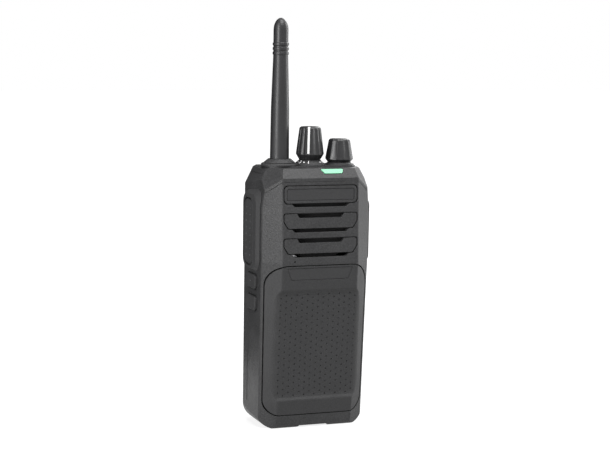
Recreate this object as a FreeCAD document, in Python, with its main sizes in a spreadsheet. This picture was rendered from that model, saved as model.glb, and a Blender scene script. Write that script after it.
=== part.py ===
"""Handheld two way radio, modelled as a bench assembly of separate pieces.

Frame: +Z up, -Y the front, +X to the right when the front faces the viewer.
The origin is on the flat underside, in the middle of the body's width.
All sizes are millimetres and live in the spreadsheet "Dims".
"""

import FreeCAD
import Part
import Sketcher
import math
import os

from FreeCAD import Placement, Rotation, Vector

DRIVING_SIZES = [
    # outer body
    ("body_width", 54.0), ("body_height", 122.0), ("front_top", 15.5),
    ("front_bend", 17.0), ("bend_height", 79.0), ("front_foot", 11.8), ("foot_bend", 13.0),
    ("front_bottom", 9.9),
    ("flat_half", 18.5), ("corner_half", 26.5), ("corner_depth", 9.3),
    ("foot_corner_half", 25.7), ("foot_corner_depth", 5.6), ("corner_round", 2.0),
    ("neck_start", 104.0), ("neck_half", 24.4), ("neck_depth", 11.5), ("shoulder_start", 113.5),
    ("shoulder_cut", 4.2), ("foot_round", 8.5), ("toe_round", 1.4), ("case_back", 14.0), ("pack_back", 17.0),
    ("side_wall", 2.0), ("floor_wall", 2.0), ("face_skin", 1.5), ("gap", 0.15), ("groove", 0.45),
    # deck and slanted band
    ("band_height", 4.0), ("band_run", 2.5), ("band_end", -2.0),
    ("edge_drop", 1.4), ("edge_start", 21.6), ("deck_plate", 1.6), ("deck_pad", 0.6),
    # lower front panel
    ("panel_half", 24.9), ("panel_foot_half", 24.2), ("panel_top", 77.3), ("panel_bottom", 6.6),
    ("panel_round", 9.6), ("panel_foot_round", 7.5),
    ("panel_thick", 2.2), ("scoop_top", 66.6), ("scoop_bottom", 13.0), ("scoop_deep", 1.25),
    ("scoop_ramp", 3.0), ("scoop_spread", 8.0), ("scoop_blend", 2.0), ("edge_round", 1.5),
    ("pit_radius", 0.36), ("pit_deep", 0.3), ("pit_pitch", 3.0), ("pit_column", 2.606), ("pit_top", 63.83),
    ("label_half", 16.0), ("label_low", 71.0), ("label_high", 76.3), ("label_thick", 0.8),
    # speaker face
    ("bar_half", 17.7), ("bar_foot_half", 15.6), ("bar_tall", 6.7), ("bar_pitch", 11.5),
    ("bar_low", 83.3), ("bar_thick", 1.4), ("badge_low", 106.4), ("badge_tall", 7.8),
    ("badge_rim", 1.2), ("port_half", 12.6), ("port_tall", 1.8), ("grille_skin", 2.3), ("notch_half", 10.3),
    ("notch_tall", 1.9), ("speaker_radius", 17.5), ("speaker_height", 97.0),
    ("magnet_radius", 9.0), ("mic_x", -12.5), ("mic_height", 79.5), ("mic_hole", 0.4),
    # deck fittings
    ("antenna_x", -14.7), ("channel_x", 0.3), ("volume_x", 15.0), ("knob_y", 0.5),
    ("shaft_radius", 3.0), ("running", 0.05), ("skirt_radius", 6.6), ("crown_radius", 5.2),
    ("pointer_turn", 26.0), ("channel_rise", 2.8), ("volume_rise", 1.3),
    ("channel_tall", 15.5), ("volume_tall", 10.7), ("collar_radius", 8.6), ("dial_radius", 7.6),
    ("dial_tall", 2.6), ("volume_collar_radius", 6.9), ("volume_collar_tall", 1.2),
    ("whip_root", 4.45), ("whip_neck", 3.45), ("whip_height", 64.8), ("ring_low", 48.6),
    ("ring_pitch", 2.1), ("ring_proud", 0.3), ("collar_tall", 3.1),
    # left side controls
    ("ptt_centre_y", 5.7), ("ptt_width", 12.6), ("ptt_low", 76.6), ("ptt_high", 106.7),
    ("ptt_proud", 0.9), ("ptt_thick", 2.0), ("ptt_travel", 0.9), ("bezel_rim", 5.0),
    ("bezel_front", 8.6), ("bezel_proud", 1.1), ("bezel_groove", 0.9), ("key_centre_y", 2.6),
    ("key_width", 12.8), ("key_tall", 6.8),
    ("key_upper", 68.7), ("key_lower", 58.5), ("key_proud", 0.5), ("key_groove", 0.9),
    ("key_sink", 0.7), ("key_thick", 1.7),
    ("key_travel", 0.6),
    # right side socket
    ("jack_low", 78.0), ("jack_high", 106.0), ("jack_front", 7.4), ("jack_rear", 8.6),
    ("jack_proud", 0.6), ("jack_big_radius", 1.78), ("jack_small_radius", 1.28),
    ("jack_y", -5.4), ("jack_pitch", 11.0), ("jack_middle", 91.5), ("jack_deep", 12.0),
    # inside
    ("chassis_front", 0.5), ("chassis_thick", 3.7), ("chassis_half", 23.9), ("chassis_top", 106.0),
    ("flange_half", 22.6), ("flange_thick", 1.3), ("board_thick", 1.2), ("board_gap", 0.9),
    # battery
    ("pack_top", 97.0), ("pack_half", 22.2), ("pack_wall", 1.2), ("pack_front", 4.7),
    ("cover_half", 24.4), ("cover_front", 13.0), ("hinge_y", 15.5), ("hinge_z", 96.5),
    ("tab_half", 3.0), ("tab_x", 13.0), ("tab_tall", 1.6), ("latch_half", 6.0),
    ("latch_travel", 1.6), ("notch_width", 13.6), ("notch_rise", 0.9),
    ("clip_pitch", 18.0), ("clip_height", 109.0), ("clip_hole", 1.25), ("clip_deep", 6.0),
]

doc = FreeCAD.newDocument("TwoWayRadio")
sheet = doc.addObject("Spreadsheet::Sheet", "Dims")
for row, (alias, value) in enumerate(DRIVING_SIZES, start=1):
    sheet.set(f"A{row}", alias)
    sheet.set(f"B{row}", str(value))
    sheet.setAlias(f"B{row}", alias)
doc.recompute()

SUB_PARTS = []


def dim(name):
    """The value of a driving size."""
    return float(sheet.get(name))


def work_out(expression):
    """The number that an expression of driving sizes gives."""
    return float(sheet.evalExpression(expression))


def keep(piece, label):
    """Gives a finished sub-part its label and puts it on the export list."""
    piece.Label = label
    SUB_PARTS.append(piece)
    return piece


def place(piece, x="0", y="0", z="0"):
    """Binds a piece's position to expressions of driving sizes."""
    for axis, expression in zip("xyz", (x, y, z)):
        piece.setExpression(f"Placement.Base.{axis}", expression)


def free_shape(label, shape):
    """A sub-part whose shape comes from Part's own functions."""
    piece = doc.addObject("Part::Feature", label)
    piece.Shape = shape
    piece.Placement = shape.Placement
    return keep(piece, label)


# ---- Part primitives with bound sizes -------------------------------------------------

def bound_box(name, length, width, height, x, y, z):
    """A box with one corner at (x, y, z) and its sizes bound to the sheet."""
    box = doc.addObject("Part::Box", name)
    for side, expression in (("Length", length), ("Width", width), ("Height", height)):
        box.setExpression(side, expression)
    place(box, x, y, z)
    return box


def bound_cylinder(name, radius, height, x, y, z, along="z"):
    """A cylinder that starts at (x, y, z) and runs along +X, +Y or +Z."""
    rod = doc.addObject("Part::Cylinder", name)
    rod.setExpression("Radius", radius)
    rod.setExpression("Height", height)
    turns = {"z": Rotation(), "x": Rotation(Vector(0, 1, 0), 90), "y": Rotation(Vector(1, 0, 0), -90)}
    rod.Placement = Placement(Vector(), turns[along])
    place(rod, x, y, z)
    return rod


def cut(name, base, tool):
    """base less tool."""
    result = doc.addObject("Part::Cut", name)
    result.Base = base
    result.Tool = tool
    return result


def fuse(name, *pieces):
    """One solid made of several that meet."""
    result = doc.addObject("Part::MultiFuse", name)
    result.Shapes = list(pieces)
    return result


# ---- PartDesign helpers ----------------------------------------------------------------

def new_body(name):
    """An empty PartDesign body."""
    return doc.addObject("PartDesign::Body", name)


def add_sketch(body, name, role, offset=None):
    """A sketch on one of the body's own origin planes, shifted along its normal."""
    sketch = body.newObject("Sketcher::SketchObject", name)
    plane = [f for f in body.Origin.OriginFeatures if f.Role == role][0]
    sketch.AttachmentSupport = [(plane, "")]
    sketch.MapMode = "FlatFace"
    if offset is not None:
        sketch.setExpression("AttachmentOffset.Base.z", offset)
    return sketch


def pin_point(sketch, geometry, end, x, y):
    """Holds a sketch point at coordinates given as expressions."""
    for kind, expression in (("DistanceX", x), ("DistanceY", y)):
        number = sketch.addConstraint(
            Sketcher.Constraint(kind, -1, 1, geometry, end, work_out(expression))
        )
        sketch.setExpression(f"Constraints[{number}]", expression)


def draw_loop(sketch, corners):
    """A closed outline of straight lines through corners given as (x, y) expressions."""
    points = [Vector(work_out(x), work_out(y), 0) for x, y in corners]
    lines = []
    for start, end in zip(points, points[1:] + points[:1]):
        lines.append(sketch.addGeometry(Part.LineSegment(start, end), False))
    for index, line in enumerate(lines):
        following = lines[(index + 1) % len(lines)]
        sketch.addConstraint(Sketcher.Constraint("Coincident", line, 2, following, 1))
        pin_point(sketch, line, 1, *corners[index])


def draw_circle(sketch, x, y, radius):
    """A circle with its centre and radius bound to the sheet."""
    centre = Vector(work_out(x), work_out(y), 0)
    circle = sketch.addGeometry(Part.Circle(centre, Vector(0, 0, 1), work_out(radius)), False)
    pin_point(sketch, circle, 3, x, y)
    number = sketch.addConstraint(Sketcher.Constraint("Radius", circle, work_out(radius)))
    sketch.setExpression(f"Constraints[{number}]", radius)


def pad(body, name, sketch, length, middle=False):
    """Pads a sketch by a bound length, along its normal or to both sides of it."""
    feature = body.newObject("PartDesign::Pad", name)
    feature.Profile = sketch
    feature.setExpression("Length", length)
    feature.Midplane = middle
    return feature


def pocket(body, name, sketch, length, backward=False, middle=False):
    """Cuts a sketch into the body by a bound length."""
    feature = body.newObject("PartDesign::Pocket", name)
    feature.Profile = sketch
    feature.setExpression("Length", length)
    feature.Reversed = backward
    feature.Midplane = middle
    return feature


def turned(label, corners, x, y, z):
    """A turned sub-part: an outline of (radius, height) expressions spun about its own axis."""
    body = new_body(label)
    sketch = add_sketch(body, label + "_outline", "XZ_Plane")
    draw_loop(sketch, corners)
    spin = body.newObject("PartDesign::Revolution", label + "_turned")
    spin.Profile = sketch
    spin.ReferenceAxis = (sketch, ["V_Axis"])
    spin.Angle = 360.0
    place(body, x, y, z)
    return keep(body, label)


def round_edges(body, name, radius, wanted):
    """Rounds the edges of the body's tip that the test picks out by their shape."""
    doc.recompute()
    base = body.Tip
    names = [f"Edge{n + 1}" for n, edge in enumerate(base.Shape.Edges) if wanted(edge)]
    feature = body.newObject("PartDesign::Fillet", name)
    feature.Base = (base, names)
    feature.setExpression("Radius", radius)
    return feature


def runs_along(edge, axis):
    """True for a straight edge parallel to that axis."""
    if not isinstance(edge.Curve, Part.Line):
        return False
    return abs(abs(edge.Curve.Direction.dot(axis)) - 1.0) < 1e-6


# ---- shapes shared by the casing pieces ------------------------------------------------

def front_y(z, inset=0.0):
    """Depth of the flat front at a height: it leans back below the bend and a little above it."""
    foot = dim("foot_bend")
    if z < foot:
        return -(dim("front_foot") + face_slope(z) * (z - foot)) + inset
    return -(dim("front_bend") + face_slope(z) * (z - dim("bend_height"))) + inset


def face_slope(z):
    """How far the flat front comes forward for each millimetre up, at a height."""
    bend = dim("bend_height")
    foot = dim("foot_bend")
    if z < foot:
        return (dim("front_foot") - dim("front_bottom")) / foot
    if z < bend:
        return (dim("front_bend") - dim("front_foot")) / (bend - foot)
    return (dim("front_top") - dim("front_bend")) / (dim("body_height") - bend)


def front_tilt(z):
    """Lean of the flat front at a height, in degrees, positive where the top comes forward."""
    return math.degrees(math.atan(face_slope(z)))


def rounded_polygon(points, radii):
    """A closed wire of straight runs with an arc of the given radius at each corner."""
    edges = []
    arcs = []
    count = len(points)
    for index, corner in enumerate(points):
        radius = radii[index]
        before = (points[index - 1] - corner).normalize()
        after = (points[(index + 1) % count] - corner).normalize()
        if radius <= 0:
            arcs.append((corner, None, corner))
            continue
        half_turn = before.getAngle(after) / 2
        back_off = radius / math.tan(half_turn)
        towards = (before + after).normalize()
        middle = corner + towards * (radius / math.sin(half_turn) - radius)
        arcs.append((corner + before * back_off, middle, corner + after * back_off))
    for index, (start, middle, end) in enumerate(arcs):
        if middle is not None:
            edges.append(Part.Arc(start, middle, end).toShape())
        following = arcs[(index + 1) % count][0]
        if end.distanceToPoint(following) > 1e-6:
            edges.append(Part.LineSegment(end, following).toShape())
    return Part.Wire(edges)


def section(z, half_flat, half_corner, depth_corner, half_back, front, back, inset):
    """One level outline of the casing, drawn in by inset at the sides."""
    right = [
        Vector(half_flat, front, z), Vector(half_corner - inset, depth_corner + inset / 2, z),
        Vector(half_back - inset, back, z),
    ]
    left = [Vector(-p.x, p.y, p.z) for p in reversed(right)]
    corner_round = dim("corner_round")
    return rounded_polygon(right + left, [0, corner_round, 0, 0, corner_round, 0])


def corner_at(z):
    """Half width and depth of the casing's side corners at a height."""
    bend = dim("bend_height")
    neck = dim("neck_start")
    half = dim("corner_half")
    depth = dim("corner_depth")
    if z < bend:
        share = 1 - z / bend
        return (
            half + (dim("foot_corner_half") - half) * share,
            depth + (dim("foot_corner_depth") - depth) * share,
        )
    share = max(0.0, (z - neck) / (dim("body_height") - neck))
    return half + (dim("neck_half") - half) * share, depth + (dim("neck_depth") - depth) * share


def casing_block(inset, front_inset, low, high, back):
    """The casing's outside, or its hollow when inset is a wall: level outlines, ruled."""
    heights = [low, dim("foot_bend"), dim("bend_height"), dim("neck_start"), high]
    levels = [(z, *corner_at(z)) for z in heights]
    outlines = []
    for z, half, depth in levels:
        outlines.append(section(
            z, dim("flat_half") - inset / 2, half, -depth, dim("body_width") / 2,
            front_y(z, front_inset), back, inset,
        ))
    return Part.makeLoft(outlines, True, True)


def prism_y(wire, near, far):
    """A solid whose outline is a wire in the XZ plane, running from depth near to depth far."""
    face = Part.Face(wire)
    face.translate(Vector(0, near, 0))
    return face.extrude(Vector(0, far - near, 0))


def body_outline(inset=0.0):
    """Front outline of the whole body: big round feet and cut shoulders."""
    high = dim("body_height") + 1
    foot = dim("foot_round")
    shoulder = dim("shoulder_start")
    side = dim("body_width") / 2 - inset
    slope = dim("shoulder_cut") / (dim("body_height") - shoulder)
    points = [
        Vector(-side, 0, inset), Vector(side, 0, inset), Vector(side, 0, shoulder),
        Vector(side - slope * (high - shoulder), 0, high), Vector(-side + slope * (high - shoulder), 0, high),
        Vector(-side, 0, shoulder),
    ]
    return rounded_polygon(points, [foot - inset, foot - inset, 0, 0, 0, 0])


def upright_outline(half, low, high, low_round, high_round):
    """A rounded rectangle in the XZ plane, centred on X."""
    points = [Vector(-half, 0, low), Vector(half, 0, low), Vector(half, 0, high), Vector(-half, 0, high)]
    return rounded_polygon(points, [low_round, low_round, high_round, high_round])


def side_outline(x, y_low, y_high, z_low, z_high, radius):
    """A rounded rectangle in a plane of constant X."""
    points = [
        Vector(x, y_low, z_low), Vector(x, y_high, z_low), Vector(x, y_high, z_high), Vector(x, y_low, z_high),
    ]
    return rounded_polygon(points, [radius] * 4)


def side_block(x_from, x_to, y_low, y_high, z_low, z_high, radius):
    """A rounded block that runs along X."""
    face = Part.Face(side_outline(x_from, y_low, y_high, z_low, z_high, radius))
    return face.extrude(Vector(x_to - x_from, 0, 0))


def above_plane(point, normal):
    """A large block on the normal's side of a plane, for slicing."""
    reach = 3 * dim("body_height")
    block = Part.makeBox(2 * reach, 2 * reach, reach, Vector(-reach, -reach, 0))
    block.Placement = Placement(point, Rotation(Vector(0, 0, 1), normal))
    return block


def band_planes(drop):
    """The slanted planes of the deck's front band and of its side edges, lowered by drop."""
    high = dim("body_height") - drop
    low = high - dim("band_height")
    front_left = Vector(-dim("flat_half"), front_y(dim("body_height")), low)
    front_right = Vector(dim("flat_half"), front_y(dim("body_height")), low)
    deck_left = Vector(-dim("flat_half") + 1, front_left.y + dim("band_run"), high)
    deck_right = Vector(dim("flat_half") - 1, front_left.y + dim("band_run"), high)
    side_left = Vector(-dim("neck_half"), dim("band_end"), high)
    side_right = Vector(dim("neck_half"), dim("band_end"), high)
    edge_left = Vector(-dim("neck_half"), 0, high - dim("edge_drop"))
    edge_right = Vector(dim("neck_half"), 0, high - dim("edge_drop"))
    lean = Vector(dim("edge_drop"), 0, dim("neck_half") - dim("edge_start"))
    front = (front_right - front_left).cross(deck_left - front_left)
    left = (front_left - side_left).cross(deck_left - side_left)
    right = (side_right - front_right).cross(deck_right - front_right)
    return [
        (front_left, front), (front_left, left), (front_right, right),
        (edge_right, lean), (edge_left, Vector(-lean.x, 0, lean.z)),
    ]


def slice_band(shape, drop):
    """Takes off what lies above the slanted band."""
    for point, normal in band_planes(drop):
        shape = shape.cut(above_plane(point, normal))
    return shape


def soften_face(block):
    """Rounds the long edges of the flat front and the faint ridges where it bends."""
    picked = []
    for edge in block.Edges:
        middle = edge.valueAt((edge.FirstParameter + edge.LastParameter) / 2)
        tall = abs(edge.Vertexes[0].Z - edge.Vertexes[-1].Z) > 2
        on_side = abs(abs(middle.x) - dim("flat_half")) < 0.05 and tall
        bends = (dim("bend_height"), dim("foot_bend"))
        if on_side or min(abs(middle.z - bend) for bend in bends) < 0.01:
            picked.append(edge)
    return block.makeFillet(dim("edge_round"), picked)


OUTER = soften_face(casing_block(0, 0, 0, dim("body_height"), dim("case_back")).common(
    prism_y(body_outline(), -40, 40)
))


def face_depth():
    """Wall thickness of the front face, in the depth direction."""
    return dim("panel_thick") + dim("face_skin")


def shifted(shape, depth):
    """A copy of a shape moved back by depth."""
    copy = shape.copy()
    copy.translate(Vector(0, depth, 0))
    return copy


def skin(wire, depth_from, depth_to):
    """The slice of the front casing inside an outline, between two depths under its surface."""
    block = prism_y(wire, -30, 0.0)
    return block.common(shifted(OUTER, depth_from)).cut(shifted(OUTER, depth_to))


def bar_outline(low, tall, top_half, foot_half, grow=0.0, notched=False):
    """Outline of a speaker bar: wider at the top, with a sunk middle on its upper edge."""
    high = low + tall
    points = [
        Vector(-foot_half - grow, 0, low - grow), Vector(foot_half + grow, 0, low - grow),
        Vector(top_half + grow, 0, low + tall * 0.45), Vector(top_half + grow, 0, high + grow),
    ]
    radii = [1.2, 1.2, 1.5, 1.0]
    if notched:
        sunk = high - dim("notch_tall")
        slope = dim("notch_tall") * 0.7
        points += [
            Vector(dim("notch_half") + slope, 0, high), Vector(dim("notch_half"), 0, sunk),
            Vector(-dim("notch_half"), 0, sunk), Vector(-dim("notch_half") - slope, 0, high),
        ]
        radii += [0, 0, 0, 0]
    points += [Vector(-top_half - grow, 0, high + grow), Vector(-top_half - grow, 0, low + tall * 0.45)]
    radii += [1.0, 1.5]
    return rounded_polygon(points, radii)


def port_outline(low, high, half):
    """A through slot with slanted ends, wider at the top."""
    lean = high - low
    points = [
        Vector(-half, 0, low), Vector(half, 0, low), Vector(half + lean, 0, high), Vector(-half - lean, 0, high),
    ]
    return rounded_polygon(points, [0] * 4)


def bar_lows():
    """Lower edges of the two plain speaker bars."""
    return [dim("bar_low"), dim("bar_low") + dim("bar_pitch")]


# ---- casing ----------------------------------------------------------------------------

def make_front_case():
    """The moulded front half: face, sides, foot, and every opening in them."""
    back = dim("case_back")
    hollow = casing_block(
        dim("side_wall"), face_depth(), dim("floor_wall"), dim("body_height") + 2, back + 5
    ).common(prism_y(body_outline(dim("side_wall")), -40, 40))
    case = OUTER.cut(hollow)
    case = slice_band(case, dim("deck_plate") + dim("gap"))
    case = case.cut(above_plane(Vector(0, 0, dim("body_height") - dim("deck_plate") - dim("gap")), Vector(0, 0, 1)))
    grow = dim("groove")
    panel_seat = skin(panel_outline(grow), -1, dim("panel_thick"))
    case = case.cut(panel_seat)
    case = case.cut(lens_block(dim("gap"), 1.6))
    deep = dim("bar_thick")
    for low in bar_lows():
        case = case.cut(skin(
            bar_outline(low, dim("bar_tall"), dim("bar_half"), dim("bar_foot_half"), grow), -1, deep))
        high = low + dim("bar_tall")
        case = case.cut(prism_y(port_outline(high - dim("notch_tall"), high, dim("notch_half")), -30, -5))
        case = case.cut(prism_y(port_outline(low - dim("port_tall"), low, dim("port_half")), -30, -5))
    case = case.cut(skin(
        upright_outline(
            dim("bar_half") + grow, dim("badge_low") - grow, dim("badge_low") + dim("badge_tall") + grow, 2, 2),
        -1, deep))
    case = case.cut(prism_y(
        port_outline(dim("badge_low") - dim("port_tall"), dim("badge_low"), dim("port_half")), -30, -5))
    case = case.cut(skin(upright_outline(17.75, 80.8, 115.5, 3, 3), dim("grille_skin"), face_depth() + 1.2))
    mic = Part.makeCylinder(dim("mic_hole"), 20, Vector(dim("mic_x"), -25, dim("mic_height")), Vector(0, 1, 0))
    case = case.cut(mic)
    gap = dim("gap")
    half = dim("ptt_width") / 2
    case = case.cut(side_block(
        -40, -20, dim("ptt_centre_y") - half - gap, dim("ptt_centre_y") + half + gap,
        dim("ptt_low") - gap, dim("ptt_high") + gap, 4.5))
    half = dim("key_width") / 2
    groove = dim("key_groove")
    for middle in (dim("key_upper"), dim("key_lower")):
        case = case.cut(side_block(
            -40, -dim("body_width") / 2 + dim("key_sink"), dim("key_centre_y") - half - groove,
            dim("key_centre_y") + half + gap, middle - dim("key_tall") / 2 - groove / 2,
            middle + dim("key_tall") / 2 + groove / 2, 2.6))
        case = case.cut(side_block(
            -40, -20, dim("key_centre_y") - half - gap, dim("key_centre_y") + half + gap,
            middle - dim("key_tall") / 2 - gap, middle + dim("key_tall") / 2 + gap, 2.2))
    case = case.cut(side_block(
        20, 40, -dim("jack_front") - gap, dim("jack_rear") + gap,
        dim("jack_low") - gap, dim("jack_high") + gap, 2.5))
    half = dim("body_width") / 2
    for side in (-1, 1):
        case = case.cut(grip_scoop(side, half))
    notch = dim("notch_width") / 2
    rise = dim("notch_rise")
    mouth = [
        Vector(-notch - rise, 0, -0.01), Vector(notch + rise, 0, -0.01), Vector(notch, 0, rise), Vector(-notch, 0, rise),
    ]
    case = case.cut(prism_y(Part.makePolygon(mouth + mouth[:1]), -30, -3.0))
    lip = dim("toe_round")
    edge = front_y(0)
    toe = [
        Vector(-40, -30, -1), Vector(-40, edge + lip, -1), Vector(-40, edge + lip, 0),
        Vector(-40, edge + 0.3 * lip, 0.3 * lip), Vector(-40, front_y(lip), lip), Vector(-40, -30, lip),
    ]
    case = case.cut(Part.Face(Part.makePolygon(toe + toe[:1])).extrude(Vector(80, 0, 0)))
    case = case.cut(Part.makeBox(
        2 * (dim("latch_half") + gap), 3.5, dim("floor_wall") + 1.0,
        Vector(-dim("latch_half") - gap, 0.7, -0.5)))
    case = case.cut(prism_y(
        upright_outline(dim("cover_half") + 0.3, -5, dim("pack_top"), dim("foot_round"), 0.5),
        dim("cover_front") - 0.25, 40))
    return free_shape("front_case", case)


def grip_scoop(side, half):
    """A finger recess low on one side: its floor ramps in towards the back."""
    low, high, near, far, deep = 10.3, 35.0, 1.6, 9.1, 0.45
    ramp = [Vector(side * (half + 1), near, low), Vector(side * (half - 0.1), near, low),
            Vector(side * (half - deep), far, low), Vector(side * (half + 1), far, low)]
    wedge = Part.Face(Part.makePolygon(ramp + ramp[:1])).extrude(Vector(0, 0, high - low))
    x = half - 3
    ends = [Vector(x, near - 1, low + 2.5), Vector(x, far, low), Vector(x, far, high), Vector(x, near - 1, high - 2.5)]
    bound = Part.Face(Part.makePolygon(ends + ends[:1])).extrude(Vector(6, 0, 0))
    if side < 0:
        bound = bound.mirror(Vector(), Vector(1, 0, 0))
    return wedge.common(bound)


def panel_outline(grow=0.0):
    """Outline of the lower front panel, a little narrower at its foot."""
    low = dim("panel_bottom") - grow
    high = dim("panel_top") + grow
    foot = dim("panel_foot_half") + grow
    half = dim("panel_half") + grow
    points = [Vector(-foot, 0, low), Vector(foot, 0, low), Vector(half, 0, high), Vector(-half, 0, high)]
    foot_round = dim("panel_foot_round")
    head_round = dim("panel_round")
    return rounded_polygon(points, [foot_round, foot_round, head_round, head_round])


def ease(share):
    """A smooth step from 0 to 1."""
    share = min(max(share, 0.0), 1.0)
    return share * share * (3 - 2 * share)


def scoop_section(z):
    """Level outline of what the scoop takes away at a height: flat floor, rounded into the flanks."""
    inside = min(dim("scoop_top") - z, z - dim("scoop_bottom"))
    deep = dim("scoop_deep") * ease(inside / dim("scoop_ramp")) - 0.06
    blend = 0.5 + dim("scoop_blend") * ease(inside / dim("scoop_spread"))
    floor = front_y(z) + deep
    half, depth = corner_at(z)
    flank = Vector(half - dim("flat_half"), -depth - front_y(z), 0).normalize()
    meet = Vector(dim("flat_half") + deep * flank.x / flank.y, floor, z)
    start = meet - Vector(blend, 0, 0)
    end = meet + flank * blend
    turn = Vector(1, 0, 0).getAngle(flank)
    radius = blend / math.tan(turn / 2)
    centre = start + Vector(0, radius, 0)
    middle = centre + Vector(math.sin(turn / 2), -math.cos(turn / 2), 0) * radius
    ahead = -40.0
    flip = [Vector(-p.x, p.y, p.z) for p in (start, middle, end)]
    corners = [Vector(end.x, ahead, z), Vector(-end.x, ahead, z)]
    return Part.Wire([
        Part.LineSegment(flip[0], start).toShape(), Part.Arc(start, middle, end).toShape(),
        Part.LineSegment(end, corners[0]).toShape(), Part.LineSegment(corners[0], corners[1]).toShape(),
        Part.LineSegment(corners[1], flip[2]).toShape(), Part.Arc(flip[2], flip[1], flip[0]).toShape(),
    ])


def scoop_tool():
    """The scoop's cutting block: level outlines close together at its ends, where it fades out."""
    steps = 6
    reach = [dim("scoop_spread") * (n / steps) ** 1.3 for n in range(steps + 1)]
    heights = [dim("scoop_bottom") + r for r in reach] + [dim("scoop_top") - r for r in reversed(reach)]
    return Part.makeLoft([scoop_section(z) for z in heights], True, True)


def make_lower_panel():
    """The front cover panel with its wide shallow scoop and the seat of the label."""
    panel = skin(panel_outline(), 0, dim("panel_thick") - dim("gap"))
    panel = panel.cut(scoop_tool())
    panel = panel.cut(skin(label_outline(dim("gap")), -1, dim("label_thick")))
    panel = panel.cut(Part.makeCompound(scoop_pits()))
    return free_shape("lower_panel", panel)


def scoop_pits():
    """Small round pits on a staggered grid, sunk into the floor of the scoop."""
    pits = []
    for column in range(-7, 8):
        shift = 0.5 * (column % 2)
        for row in range(17 - column % 2):
            x = column * dim("pit_column")
            z = dim("pit_top") - (row + shift) * dim("pit_pitch")
            floor = front_y(z, dim("scoop_deep"))
            pits.append(Part.makeCylinder(
                dim("pit_radius"), dim("pit_deep") + 1, Vector(x, floor - 1, z), Vector(0, 1, 0)))
    return pits


def label_outline(grow=0.0):
    """Outline of the blank name label: a shallow trapezium."""
    half = dim("label_half") + grow
    points = [
        Vector(-half + 2.2, 0, dim("label_low") - grow), Vector(half - 2.2, 0, dim("label_low") - grow),
        Vector(half, 0, dim("label_high") + grow), Vector(-half, 0, dim("label_high") + grow),
    ]
    return rounded_polygon(points, [1.2, 1.2, 0.3, 0.3])


def make_label_plate():
    """The blank name label set into the panel."""
    return free_shape("label_plate", skin(label_outline(), 0.1, dim("label_thick")))


def make_grille_bars():
    """Two speaker bars that float over the sound ports, each one solid."""
    bars = []
    for low in bar_lows():
        outline = bar_outline(
            low, dim("bar_tall"), dim("bar_half"), dim("bar_foot_half"), 0.0, True)
        bars.append(skin(outline, 0, dim("bar_thick")))
    return free_shape("grille_bars", Part.makeCompound(bars))


def badge_outline(inset):
    """Rounded rectangle of the badge, drawn in by inset."""
    low = dim("badge_low") + inset
    high = dim("badge_low") + dim("badge_tall") - inset
    return upright_outline(dim("bar_half") - inset, low, high, max(2 - inset, 0.5), max(2 - inset, 0.5))


def make_badge():
    """The badge's rim and the blank plate inside it."""
    rim = skin(badge_outline(0), 0, dim("bar_thick")).cut(
        skin(badge_outline(dim("badge_rim")), -1, dim("bar_thick") - 0.5))
    free_shape("badge_frame", rim)
    inset = dim("badge_rim") + dim("gap")
    free_shape("badge_plate", skin(badge_outline(inset), 0.15, dim("bar_thick") - 0.5))


def make_top_cover():
    """The deck: a plate with a slanted front band, pierced for the three fittings and the lens."""
    block = OUTER
    plate = slice_band(block, 0)
    under = slice_band(block, dim("deck_plate"))
    under = under.cut(above_plane(Vector(0, 0, dim("body_height") - dim("deck_plate")), Vector(0, 0, 1)))
    plate = plate.cut(under)
    high = dim("body_height")
    corners = [Vector(-22.3, -7.6, high), Vector(21.3, -7.6, high), Vector(21.3, 8.8, high), Vector(-22.3, 8.8, high)]
    outline = rounded_polygon(corners, [6, 4, 4, 6])
    raised = Part.Face(outline).extrude(Vector(0, 0, dim("deck_pad")))
    plate = plate.fuse(raised)
    bush = dim("shaft_radius") + 1.2
    for x in (dim("channel_x"), dim("volume_x")):
        plate = plate.cut(Part.makeCylinder(bush + dim("gap"), 20, Vector(x, dim("knob_y"), high - 10)))
    plate = plate.cut(Part.makeCylinder(3.2 + dim("gap"), 20, Vector(dim("antenna_x"), dim("knob_y"), high - 10)))
    plate = plate.cut(lens_block(dim("gap"), 3.0))
    return free_shape("top_cover", plate.removeSplitter())


def lens_block(grow, deep):
    """A slanted bar with a pointed left end, lying in the band, deep into it."""
    high = dim("body_height")
    slope = math.hypot(dim("band_height"), dim("band_run"))
    low = slope * 0.42 - grow
    top = slope * 0.90 + grow
    points = [
        Vector(2.4 - grow, 0, low), Vector(11.0 + grow, 0, low), Vector(11.5 + grow, 0, top),
        Vector(0.4 - grow, 0, top),
    ]
    face = Part.Face(rounded_polygon(points, [0.5, 0.9, 0.5, 0.3]))
    bar = face.extrude(Vector(0, deep + 0.25, 0))
    bar.translate(Vector(0, -0.25, 0))
    angle = math.degrees(math.atan2(dim("band_run"), dim("band_height")))
    bar.rotate(Vector(), Vector(1, 0, 0), -angle)
    bar.translate(Vector(0, front_y(high), high - dim("band_height")))
    return bar


def make_led_lens():
    """The status light's lens in the slanted band."""
    return free_shape("led_lens", lens_block(0, 1.4))


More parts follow.
